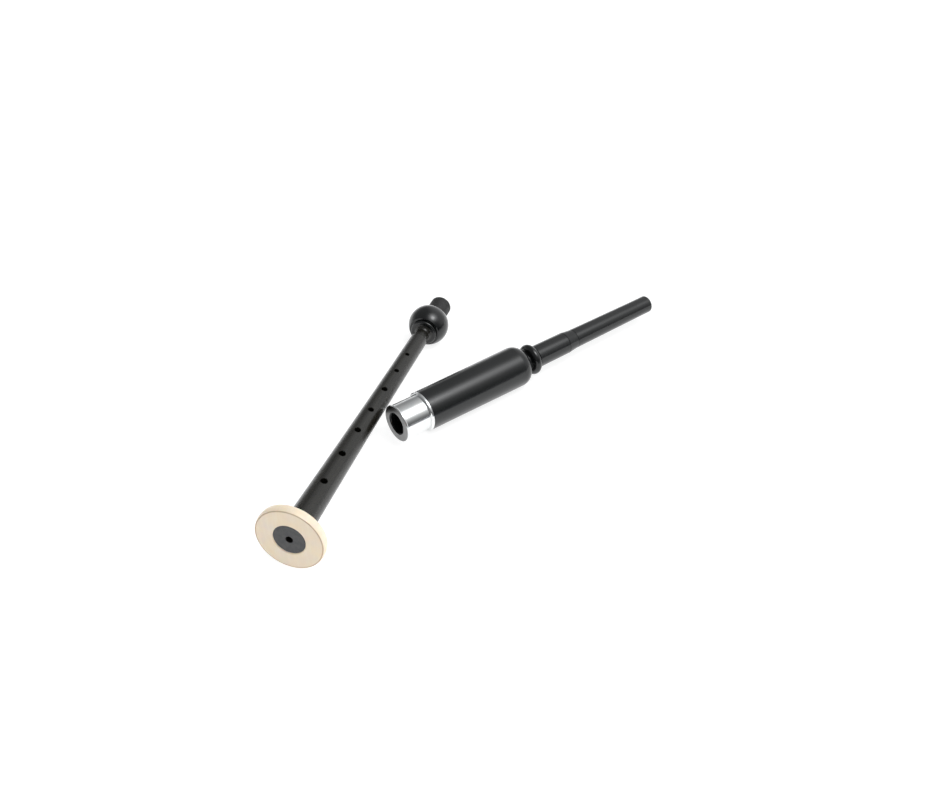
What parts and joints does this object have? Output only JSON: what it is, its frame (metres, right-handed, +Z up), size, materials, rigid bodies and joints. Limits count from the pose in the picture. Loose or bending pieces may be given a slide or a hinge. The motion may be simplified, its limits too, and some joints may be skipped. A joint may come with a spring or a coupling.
{
  "type": "practice chanter",
  "caption": "Two-piece practice chanter lying apart: tapered fingered stick with disc sole and bulb, and a metal-ferruled barrel with a mouthpiece tube",
  "frame": {"origin": "middle of the footprint, on the surface the halves lie on", "axes": "+Z up; +Y along the upper half, from its open mouth to the mouth tip; the lower half runs from its sole towards -X and +Y"},
  "size_m": [0.1755, 0.3603, 0.045],
  "materials": {
    "black_acetal_satin": "turned acetal, worn satin",
    "black_acetal_gloss": "turned acetal, polished",
    "black_acetal_matt": "turned acetal, as cut",
    "imitation_ivory": "cast resin, soft polish",
    "nickel_plate": "polished nickel plate",
    "black_waxed_hemp": "waxed twisted thread",
    "yellow_hemp": "twisted thread",
    "red_thread": "tight binding thread",
    "cane": "scraped cane",
    "brass_tube": "drawn tube",
    "black_rubber": "moulded rubber"
  },
  "bodies": {
    "lower_half": {"chanter_stick": "black_acetal_satin", "bulb_mount": "black_acetal_gloss", "tenon_hemp": "black_waxed_hemp", "sole": "imitation_ivory", "sole_bush": "black_acetal_matt"},
    "upper_half": {"barrel": "black_acetal_gloss", "ferrule": "nickel_plate"},
    "mouthpiece_winding": {"mouthpiece_hemp": "black_waxed_hemp"},
    "mouthpiece": {"mouthpiece_stem": "black_acetal_gloss", "mouthpiece_tip": "black_acetal_gloss"},
    "reed": {"reed_staple": "brass_tube", "reed_blade_upper": "cane", "reed_blade_lower": "cane", "reed_binding": "red_thread", "reed_seat_hemp": "yellow_hemp"},
    "bridle": {"reed_bridle": "black_rubber"}
  },
  "joints": [
    {"name": "upper_half_lift", "type": "slide", "parent": "lower_half", "child": "upper_half", "axis": [0, 0, 1], "range_m": [0, 0.06]},
    {"name": "mouthpiece_pull", "type": "slide", "parent": "upper_half", "child": "mouthpiece_winding", "axis": [0, 1, 0], "range_m": [0, 0.023]},
    {"name": "mouthpiece_twist", "type": "hinge", "parent": "mouthpiece_winding", "child": "mouthpiece", "pos_m": [0.0129, 0.0485, 0.0145], "axis": [0, 1, 0], "continuous": true},
    {"name": "reed_slide", "type": "slide", "parent": "upper_half", "child": "reed", "axis": [0, 1, 0], "range_m": [-0.013, 0.003]},
    {"name": "bridle_slide", "type": "slide", "parent": "reed", "child": "bridle", "axis": [0, 1, 0], "range_m": [-0.0015, 0.0015]}
  ]
}
